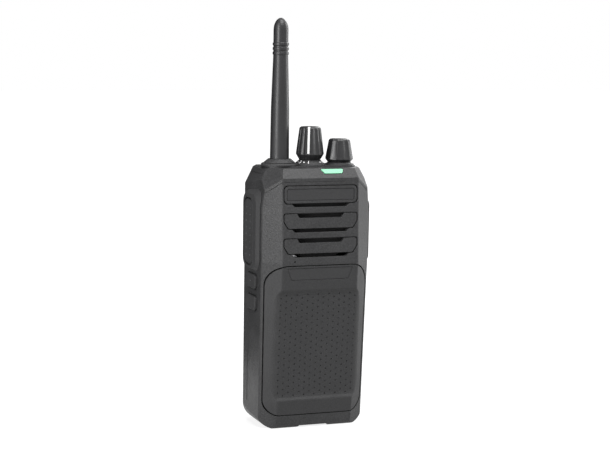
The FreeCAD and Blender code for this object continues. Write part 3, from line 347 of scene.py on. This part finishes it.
FINISHES = {
    Look.CASE: MouldedPlastic((0.033, 0.033, 0.034)),
    Look.PANEL: MouldedPlastic(
        (0.031, 0.031, 0.032), roughness=0.46, grain=2000.0, grain_depth=0.06 * MM, speckle=0.3
    ),
    Look.PLATE: MouldedPlastic((0.033, 0.033, 0.034), roughness=0.42, grain_depth=0.012 * MM, speckle=0.15),
    Look.BUTTON: MouldedPlastic((0.032, 0.032, 0.033), roughness=0.62, grain_depth=0.02 * MM, speckle=0.2),
    # The dots are much lighter than the button rubber: a painted highlight standing in for glints on the
    # raised dots.
    Look.DOT: MouldedPlastic((0.085, 0.085, 0.087), roughness=0.4, grain_depth=0.01 * MM, speckle=0.1),
    Look.KNOB: MouldedPlastic(
        (0.018, 0.018, 0.019), roughness=0.34, grain_depth=0.01 * MM, speckle=0.2, specular=0.38
    ),
    Look.WHIP: MouldedPlastic(
        (0.020, 0.020, 0.021), roughness=0.36, grain_depth=0.02 * MM, speckle=0.2, specular=0.36
    ),
    Look.COVER: MouldedPlastic((0.034, 0.034, 0.035), roughness=0.48),
    Look.PACK: MouldedPlastic((0.034, 0.034, 0.035), roughness=0.55),
    Look.INNER: MouldedPlastic((0.09, 0.09, 0.09), roughness=0.6),
    Look.CLOTH: WovenCloth((0.012, 0.012, 0.012)),
    Look.CONE: MouldedPlastic((0.03, 0.03, 0.03), roughness=0.8, grain=1200.0),
    Look.STEEL: Metal((0.60, 0.60, 0.62)),
    Look.CAST: Metal((0.42, 0.42, 0.43), roughness=0.5, grain_depth=0.03 * MM),
    Look.GOLD: Metal((0.83, 0.62, 0.27), roughness=0.25),
    Look.SCREW: Metal((0.10, 0.10, 0.11), roughness=0.35),
    Look.BOARD: Coated((0.02, 0.16, 0.07), coat=0.5),
    Look.CELL: Coated((0.06, 0.11, 0.30), coat=0.3),
    Look.LENS: LightGuide((0.22, 0.62, 0.38)),
    Look.INK: Coated((0.80, 0.80, 0.80), roughness=0.5, unevenness=0.06),
}

NODE_LOOKS = {
    Look.CASE: ("front_case", "top_cover", "grille_bars", "badge_frame", "rear_cover"),
    Look.PANEL: ("lower_panel",),
    Look.PLATE: ("badge_plate", "label_plate"),
    Look.BUTTON: ("ptt_button", "ptt_bezel", "side_key_upper", "side_key_lower", "shaft_seals"),
    Look.KNOB: ("channel_knob", "volume_knob"),
    Look.WHIP: ("antenna_whip",),
    Look.COVER: ("jack_cover", "antenna_collar", "channel_dial_ring", "volume_collar", "battery_latch"),
    Look.PACK: ("battery_cover", "battery_tray"),
    Look.INNER: ("jack_block",),
    Look.CLOTH: ("speaker_cloth",),
    Look.CONE: ("speaker_cone",),
    Look.STEEL: (
        "channel_shaft", "channel_switch", "volume_shaft", "volume_switch", "speaker_basket",
        "speaker_magnet", "microphone", "rf_shields",
    ),
    Look.CAST: ("chassis",),
    Look.GOLD: (
        "antenna_core", "antenna_plug", "antenna_socket", "board_spacers", "radio_terminals",
        "battery_contacts", "charge_contacts",
    ),
    Look.SCREW: ("rear_screws",),
    Look.BOARD: ("main_board", "key_board"),
    Look.CELL: ("battery_cells",),
    Look.LENS: ("led_lens",),
    Look.INK: ("channel_pointer",),
}


@dataclass
class Paintbox:
    """Makes each finish once and hands it out."""

    made: dict = field(default_factory=dict)

    def get(self, look: Look) -> bpy.types.Material:
        """The material of a look, made on its first use."""
        if look not in self.made:
            self.made[look] = FINISHES[look].build(look.value)
        return self.made[look]

    def dress_frame(self) -> None:
        """Gives every node of the frame its finish."""
        for look, names in NODE_LOOKS.items():
            for name in names:
                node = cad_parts[name]
                node.data.materials.clear()
                node.data.materials.append(self.get(look))
                LOG.info("%s wears %s", name, look.value)


# ---- helpers ---------------------------------------------------------------------------

def make_object(name: str, points: list, faces: list, material: bpy.types.Material) -> bpy.types.Object:
    """Makes a mesh object at the origin, with its faces turned outwards.

    Args:
        name: The piece's name.
        points: Vertex places in metres.
        faces: Vertex numbers of each face.
        material: Its finish.

    Returns:
        The new object.
    """
    mesh = bpy.data.meshes.new(name)
    mesh.from_pydata(points, [], faces)
    work = bmesh.new()
    work.from_mesh(mesh)
    bmesh.ops.remove_doubles(work, verts=work.verts, dist=1e-7)
    bmesh.ops.recalc_face_normals(work, faces=work.faces)
    work.to_mesh(mesh)
    work.free()
    mesh.materials.append(material)
    piece = bpy.data.objects.new(name, mesh)
    bpy.context.scene.collection.objects.link(piece)
    return piece


def smooth_by_angle(piece: bpy.types.Object, degrees: float) -> None:
    """Shades a mesh smooth, apart from its edges sharper than an angle."""
    mesh = piece.data
    mesh.polygons.foreach_set("use_smooth", [True] * len(mesh.polygons))
    work = bmesh.new()
    work.from_mesh(mesh)
    for edge in work.edges:
        edge.smooth = not (edge.is_manifold and edge.calc_face_angle(0.0) > math.radians(degrees))
    work.to_mesh(mesh)
    work.free()


def centre_of(node: str) -> Vector:
    """Middle of a node's box."""
    low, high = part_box(node)
    return (Vector(low) + Vector(high)) / 2


def finish_piece(piece: bpy.types.Object, body: str) -> None:
    """Hangs a new piece on a body."""
    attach(piece, body)
    LOG.info("%s rides on %s", piece.name, body)


# ---- geometry nodes --------------------------------------------------------------------

@dataclass(frozen=True)
class GridOfMarks:
    """A node tree that sets a small raised mark on every point of a rectangular grid."""

    columns: int
    rows: int
    wide: float
    tall: float
    radius: float
    height: float

    def build(self, name: str, material: bpy.types.Material) -> bpy.types.Object:
        """Makes the marks, lying in the XY plane round the origin, as a plain mesh.

        Args:
            name: The piece's name.
            material: Its finish.

        Returns:
            The new object.
        """
        tree = bpy.data.node_groups.new(name + "_marks", "GeometryNodeTree")
        tree.interface.new_socket("Geometry", in_out="OUTPUT", socket_type="NodeSocketGeometry")
        sizes = {
            "Columns": ("NodeSocketInt", self.columns), "Rows": ("NodeSocketInt", self.rows),
            "Width": ("NodeSocketFloat", self.wide), "Height": ("NodeSocketFloat", self.tall),
            "Mark radius": ("NodeSocketFloat", self.radius), "Mark rise": ("NodeSocketFloat", self.height),
        }
        for label, (kind, _) in sizes.items():
            tree.interface.new_socket(label, in_out="INPUT", socket_type=kind)
        add = tree.nodes.new
        join = tree.links.new
        start = add("NodeGroupInput")
        grid = add("GeometryNodeMeshGrid")
        join(start.outputs["Width"], grid.inputs["Size X"])
        join(start.outputs["Height"], grid.inputs["Size Y"])
        join(start.outputs["Columns"], grid.inputs["Vertices X"])
        join(start.outputs["Rows"], grid.inputs["Vertices Y"])
        bead = add("GeometryNodeMeshUVSphere")
        bead.inputs["Segments"].default_value = 12
        bead.inputs["Rings"].default_value = 6
        join(start.outputs["Mark radius"], bead.inputs["Radius"])
        ratio = add("ShaderNodeMath")
        ratio.operation = "DIVIDE"
        join(start.outputs["Mark rise"], ratio.inputs[0])
        join(start.outputs["Mark radius"], ratio.inputs[1])
        size = add("ShaderNodeCombineXYZ")
        size.inputs["X"].default_value = 1.0
        size.inputs["Y"].default_value = 1.0
        join(ratio.outputs["Value"], size.inputs["Z"])
        spots = add("GeometryNodeInstanceOnPoints")
        join(grid.outputs["Mesh"], spots.inputs["Points"])
        join(bead.outputs["Mesh"], spots.inputs["Instance"])
        join(size.outputs["Vector"], spots.inputs["Scale"])
        return bake_tree(name, tree, start, spots, sizes, material)


def bake_tree(name: str, tree: bpy.types.NodeTree, start: bpy.types.Node, spots: bpy.types.Node,
              sizes: dict, material: bpy.types.Material) -> bpy.types.Object:
    """Ends a tree in Realize Instances and Set Material, runs it, and keeps only its plain mesh.

    Args:
        name: The piece's name.
        tree: The node tree.
        start: Its group input.
        spots: The node that places the instances.
        sizes: Input name to (socket type, value).
        material: The finish.

    Returns:
        The new object, without a modifier.
    """
    join = tree.links.new
    real = tree.nodes.new("GeometryNodeRealizeInstances")
    paint = tree.nodes.new("GeometryNodeSetMaterial")
    paint.inputs["Material"].default_value = material
    end = tree.nodes.new("NodeGroupOutput")
    join(spots.outputs["Instances"], real.inputs["Geometry"])
    join(real.outputs["Geometry"], paint.inputs["Geometry"])
    join(paint.outputs["Geometry"], end.inputs["Geometry"])
    host = bpy.data.objects.new(name + "_host", bpy.data.meshes.new(name + "_host"))
    bpy.context.scene.collection.objects.link(host)
    modifier = host.modifiers.new("marks", "NODES")
    modifier.node_group = tree
    for item in tree.interface.items_tree:
        if item.in_out == "INPUT":
            modifier[item.identifier] = sizes[item.name][1]
    host.update_tag()
    bpy.context.view_layer.update()
    seen = host.evaluated_get(bpy.context.evaluated_depsgraph_get())
    mesh = bpy.data.meshes.new_from_object(seen)
    mesh.name = name
    host.modifiers.clear()
    bpy.data.objects.remove(host)
    piece = bpy.data.objects.new(name, mesh)
    bpy.context.scene.collection.objects.link(piece)
    return piece


# ---- sub-assemblies --------------------------------------------------------------------

@dataclass
class FlutedKnob:
    """A tapered knob: skirt with a cut-back underside, shallow flutes, rounded crown."""

    node: str
    body: str
    flutes: int
    skirt_z: float
    foot_radius: float
    flute_depth: float = 0.38 * MM
    crown_radius: float = 5.2 * MM
    bore_radius: float = 3.0 * MM
    bore_top: float = 2.5 * MM
    crown_round: float = 1.4 * MM
    samples: int = 10

    def outline(self, tall: float, skirt: float) -> list:
        """Half section of the knob.

        Args:
            tall: Height of the knob.
            skirt: Radius of its skirt.

        Returns:
            (radius, height, share of the flutes' depth) from the bore to the crown's middle.
        """
        rim = tall - self.crown_round
        rows = [
            (self.bore_radius, tall - self.bore_top, 0.0), (self.bore_radius, 0.0, 0.0),
            (self.foot_radius, 0.0, 0.0), ((skirt + self.foot_radius) / 2, self.skirt_z / 2, 0.0),
            (skirt - 0.12 * MM, self.skirt_z - 0.2 * MM, 0.25), (skirt, self.skirt_z, 0.6),
            (skirt, self.skirt_z + 0.3 * MM, 1.0),
        ]
        for step in range(1, 7):
            share = step / 6
            height = self.skirt_z + 0.3 * MM + share * (rim - self.skirt_z - 0.3 * MM)
            rows.append((skirt + share * (self.crown_radius - skirt), height, 1.0))
        for step in range(1, 6):
            turn = math.radians(step * 18)
            inward = self.crown_round * (1 - math.cos(turn))
            rows.append((self.crown_radius - inward, rim + self.crown_round * math.sin(turn), 1.0 - step / 5))
        rows.append((self.crown_radius - 1.8 * self.crown_round, tall - 0.05 * MM, 0.0))
        return rows

    def build(self, paints: Paintbox) -> None:
        """Makes the knob and stands it in for its plain node."""
        low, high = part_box(self.node)
        middle = centre_of(self.node)
        rows = self.outline(high[2] - low[2], (high[0] - low[0]) / 2)
        around = self.flutes * self.samples
        points = []
        for radius, height, share in rows:
            for step in range(around):
                turn = 2 * math.pi * step / around - math.pi / 2
                scallop = abs(math.sin(self.flutes * math.pi * step / around))
                reach = radius - self.flute_depth * share * scallop ** 0.8
                out = Vector((math.cos(turn), math.sin(turn), 0.0)) * reach
                points.append((middle.x + out.x, middle.y + out.y, low[2] + height))
        faces = []
        for row in range(len(rows) - 1):
            for step in range(around):
                a = row * around + step
                b = row * around + (step + 1) % around
                faces.append((a, b, b + around, a + around))
        faces.append(tuple(range(around)))
        faces.append(tuple((len(rows) - 1) * around + step for step in range(around)))
        knob = make_object(self.node + "_fluted", points, faces, paints.get(Look.KNOB))
        smooth_by_angle(knob, 28.0)
        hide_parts(self.node)
        finish_piece(knob, self.body)


@dataclass
class DialFigures:
    """White odd channel figures, and dots for the even ones, printed on the sloping dial ring."""

    figures: int = 16
    step: float = 20.0
    start: float = -26.0
    figure_tall: float = 1.9 * MM
    slope_low: tuple = (7.1 * MM, 0.6 * MM)
    slope_high: tuple = (5.0 * MM, 2.4 * MM)
    lift: float = 0.04 * MM
    dot_radius: float = 0.42 * MM
    dot_corners: int = 12
    size_per_height: float = 1.35
    ink_thick: float = 0.02 * MM
    stroke_grow: float = 0.05 * MM

    def slope(self) -> float:
        """Angle of the ring's cone above level."""
        run = self.slope_low[0] - self.slope_high[0]
        return math.atan2(self.slope_high[1] - self.slope_low[1], run)

    def build(self, paints: Paintbox) -> None:
        """Makes the figures and the dots between them."""
        low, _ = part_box("channel_dial_ring")
        middle = centre_of("channel_dial_ring")
        reach = (self.slope_low[0] + self.slope_high[0]) / 2
        rise = (self.slope_low[1] + self.slope_high[1]) / 2
        base = Vector((middle.x, middle.y, low[2] + rise))
        dots = []
        for number in range(1, self.figures + 1):
            turn = math.radians(self.start + self.step * (1 - number))
            place = (
                Matrix.Translation(base) @ Matrix.Rotation(turn, 4, "Z")
                @ Matrix.Translation(Vector((0, -reach, self.lift)))
                @ Matrix.Rotation(self.slope(), 4, "X")
            )
            if number % 2 == 0:
                dots.append(place)
                continue
            curve = bpy.data.curves.new(f"figure_{number}", "FONT")
            curve.body = str(number)
            curve.size = self.figure_tall * self.size_per_height
            curve.align_x = "CENTER"
            curve.align_y = "CENTER"
            curve.extrude = self.ink_thick
            curve.offset = self.stroke_grow
            text = bpy.data.objects.new(f"figure_{number}", curve)
            bpy.context.scene.collection.objects.link(text)
            bpy.context.view_layer.update()
            seen = text.evaluated_get(bpy.context.evaluated_depsgraph_get())
            mesh = bpy.data.meshes.new_from_object(seen)
            bpy.data.objects.remove(text)
            mesh.transform(place)
            mesh.materials.append(paints.get(Look.INK))
            piece = bpy.data.objects.new(f"dial_figure_{number:02d}", mesh)
            bpy.context.scene.collection.objects.link(piece)
            finish_piece(piece, "housing")
        points = []
        faces = []
        for place in dots:
            first = len(points)
            for step in range(self.dot_corners):
                turn = 2 * math.pi * step / self.dot_corners
                spot = Vector((self.dot_radius * math.cos(turn), self.dot_radius * math.sin(turn), 0.0))
                points += [place @ spot, place @ (spot + Vector((0, 0, self.lift)))]
            bottom = [first + 2 * step for step in range(self.dot_corners)]
            faces += [tuple(reversed(bottom)), tuple(corner + 1 for corner in bottom)]
            for step in range(self.dot_corners):
                a = bottom[step]
                b = bottom[(step + 1) % self.dot_corners]
                faces.append((a, b, b + 1, a + 1))
        piece = make_object("dial_dots", points, faces, paints.get(Look.INK))
        finish_piece(piece, "housing")


@dataclass
class TalkButtonDots:
    """Small raised dots on the talk button and one on the upper key, in a lighter colour that is a painted
    highlight.
    """

    columns: int = 2
    rows: int = 8
    column_pitch: float = 5.6 * MM
    row_pitch: float = 3.15 * MM
    radius: float = 0.36 * MM
    rise: float = 0.19 * MM

    def build(self, paints: Paintbox) -> None:
        """Makes the dots."""
        for node, body, columns, rows in (
            ("ptt_button", "talk_button", self.columns, self.rows), ("side_key_upper", "upper_key", 1, 1),
        ):
            marks = GridOfMarks(
                columns, rows, (columns - 1) * self.column_pitch, (rows - 1) * self.row_pitch,
                self.radius, self.rise,
            # The dots wear the lighter finish, a painted highlight.
            ).build(node + "_dots", paints.get(Look.DOT))
            low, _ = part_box(node)
            middle = centre_of(node)
            marks.data.transform(
                Matrix.Translation(Vector((low[0], middle.y, middle.z)))
                @ Matrix.Rotation(-math.pi / 2, 4, "Y") @ Matrix.Rotation(math.pi / 2, 4, "Z")
            )
            finish_piece(marks, body)


def seen_directly(tree: bpy.types.NodeTree, rays: bpy.types.Node) -> bpy.types.Node:
    """Adds up the rays of the camera, of gloss and of clear pieces.

    Args:
        tree: The node tree.
        rays: Its Light Path node.

    Returns:
        A node whose Value is 1 for those rays and 0 for the rest.
    """
    last = rays.outputs["Is Camera Ray"]
    for kind in ("Is Glossy Ray", "Is Transmission Ray"):
        total = tree.nodes.new("ShaderNodeMath")
        total.operation = "ADD"
        total.use_clamp = True
        tree.links.new(last, total.inputs[0])
        tree.links.new(rays.outputs[kind], total.inputs[1])
        last = total.outputs["Value"]
    return total


@dataclass
class Studio:
    """Pale floor, soft lamps and the camera."""

    azimuth: float = -20.14
    elevation: float = 6.95
    roll: float = 0.833
    distance: float = 0.739
    aim: Vector = field(default_factory=lambda: Vector((-0.00176, 0.0, 0.09432)))
    lens: float = 93.0
    sky: float = 0.10
    floor_white: float = 0.25
    near_glow: float = 0.80
    near: float = 0.06
    far: float = 0.45

    def camera(self) -> None:
        """Places the camera."""
        turn = math.radians(self.azimuth)
        rise = math.radians(self.elevation)
        back = Vector((math.sin(turn) * math.cos(rise), -math.cos(turn) * math.cos(rise), math.sin(rise)))
        data = bpy.data.cameras.new("camera")
        data.lens = self.lens
        data.sensor_width = 36.0
        data.clip_start = 0.01
        data.clip_end = 50.0
        camera = bpy.data.objects.new("camera", data)
        bpy.context.scene.collection.objects.link(camera)
        level = (-back).to_track_quat("-Z", "Y").to_matrix() @ Matrix.Rotation(math.radians(self.roll), 3, "Z")
        camera.matrix_world = Matrix.Translation(self.aim + back * self.distance) @ level.to_4x4()
        bpy.context.scene.camera = camera

    def lamp(self, name: str, azimuth: float, elevation: float, size: float, power: float,
             away: float = 0.9, tall: float | None = None) -> None:
        """Adds a soft lamp that faces the object.

        Args:
            name: The lamp's name.
            azimuth: Where it stands round the object, in degrees, 0 at the front.
            elevation: Its height above the horizon, in degrees.
            size: Its width in metres.
            power: Its power in watts.
            away: Its distance in metres.
            tall: Its height in metres, if it isn't square.
        """
        turn = math.radians(azimuth)
        rise = math.radians(elevation)
        back = Vector((math.sin(turn) * math.cos(rise), -math.cos(turn) * math.cos(rise), math.sin(rise)))
        data = bpy.data.lights.new(name, "AREA")
        data.energy = power
        data.size = size
        if tall is not None:
            data.shape = "RECTANGLE"
            data.size_y = tall
        lamp = bpy.data.objects.new(name, data)
        facing = (-back).to_track_quat("-Z", "Y").to_matrix().to_4x4()
        lamp.matrix_world = Matrix.Translation(self.aim + back * away) @ facing
        bpy.context.scene.collection.objects.link(lamp)

    def card(self, name: str, azimuth: float, wide: float, tall: float, away: float = 0.13) -> None:
        """Stands a black card on the floor, out of the camera's sight, to keep a flank dark.

        Args:
            name: The card's name.
            azimuth: Where it stands round the object, in degrees, 0 at the front.
            wide: Its width in metres.
            tall: Its height in metres.
            away: Its distance in metres.
        """
        turn = math.radians(azimuth)
        back = Vector((math.sin(turn), -math.cos(turn), 0.0))
        side = Vector((back.y, -back.x, 0.0)) * wide / 2
        foot = back * away + Vector((0.0, 0.0, 0.002))
        top = Vector((0.0, 0.0, tall))
        mesh = bpy.data.meshes.new(name)
        corners = [foot - side, foot + side, foot + side + top, foot - side + top]
        mesh.from_pydata(corners, [], [(0, 1, 2, 3)])
        tree = Nodes(name + "_black")
        tree.shader.inputs["Base Color"].default_value = (0.01, 0.01, 0.01, 1.0)
        tree.shader.inputs["Roughness"].default_value = 0.9
        mesh.materials.append(tree.material)
        card = bpy.data.objects.new(name, mesh)
        card.visible_camera = False
        card.visible_shadow = False
        card.visible_diffuse = False
        bpy.context.scene.collection.objects.link(card)

    def floor(self) -> None:
        """A pale floor that keeps the object's shadow and reads as white."""
        reach = 4.0
        mesh = bpy.data.meshes.new("floor")
        corners = [(-reach, -reach, 0), (reach, -reach, 0), (reach, reach, 0), (-reach, reach, 0)]
        mesh.from_pydata(corners, [], [(0, 1, 2, 3)])
        floor = bpy.data.objects.new("floor", mesh)
        tree = Nodes("floor_white")
        tree.shader.inputs["Base Color"].default_value = (self.floor_white,) * 3 + (1.0,)
        tree.shader.inputs["Roughness"].default_value = 0.9
        rays = tree.add("ShaderNodeLightPath")
        seen = seen_directly(tree.tree, rays)
        away = tree.add("ShaderNodeVectorMath", operation="LENGTH")
        tree.link(tree.place, "Object", away, "Vector")
        white = tree.spread(away, "Value", self.near_glow, 1.0, self.near, self.far)
        white.interpolation_type = "SMOOTHSTEP"
        level = tree.add("ShaderNodeMath", operation="MULTIPLY")
        tree.link(white, "Result", level, "Value")
        tree.tree.links.new(seen.outputs["Value"], level.inputs[1])
        glow = tree.add("ShaderNodeEmission")
        tree.link(level, "Value", glow, "Strength")
        both = tree.add("ShaderNodeAddShader")
        tree.tree.links.new(tree.shader.outputs[0], both.inputs[0])
        tree.tree.links.new(glow.outputs[0], both.inputs[1])
        tree.tree.links.new(both.outputs[0], tree.output.inputs["Surface"])
        mesh.materials.append(tree.material)
        bpy.context.scene.collection.objects.link(floor)

    def world(self) -> None:
        """An even pale surround that reads as white to the camera, to gloss and through clear pieces."""
        world = bpy.data.worlds.new("studio")
        world.use_nodes = True
        tree = world.node_tree
        tree.nodes.clear()
        end = tree.nodes.new("ShaderNodeOutputWorld")
        back = tree.nodes.new("ShaderNodeBackground")
        back.inputs["Color"].default_value = (1.0, 1.0, 1.0, 1.0)
        rays = tree.nodes.new("ShaderNodeLightPath")
        seen = seen_directly(tree, rays)
        level = tree.nodes.new("ShaderNodeMapRange")
        level.inputs["To Min"].default_value = self.sky
        level.inputs["To Max"].default_value = 1.0
        tree.links.new(seen.outputs["Value"], level.inputs["Value"])
        tree.links.new(level.outputs["Result"], back.inputs["Strength"])
        tree.links.new(back.outputs["Background"], end.inputs["Surface"])
        bpy.context.scene.world = world

    def build(self) -> None:
        """Sets the whole studio."""
        self.floor()
        self.world()
        self.camera()
        self.lamp("left_box", -60.0, 15.0, 0.34, 7.0, tall=0.6)
        self.lamp("right_box", 92.0, 22.0, 0.40, 5.5, tall=0.7)
        self.lamp("high_box", 10.0, 66.0, 0.6, 9.0)
        self.lamp("back_box", 150.0, 30.0, 0.6, 4.0, tall=0.5)
        self.card("left_card", -158.0, 0.30, 0.35)
        bpy.context.scene.view_settings.view_transform = "Standard"


def main() -> None:
    """Dresses the frame, adds the finer pieces and sets the studio."""
    logging.basicConfig(level=logging.INFO, format="%(name)s: %(message)s")
    paints = Paintbox()
    paints.dress_frame()
    for maker in (
        FlutedKnob("channel_knob", "channel_dial", flutes=18, skirt_z=2.8 * MM, foot_radius=4.9 * MM),
        FlutedKnob("volume_knob", "volume_dial", flutes=12, skirt_z=1.3 * MM, foot_radius=5.5 * MM),
        DialFigures(),
        TalkButtonDots(),
    ):
        maker.build(paints)
    Studio().build()


if __name__ == "__main__":
    main()
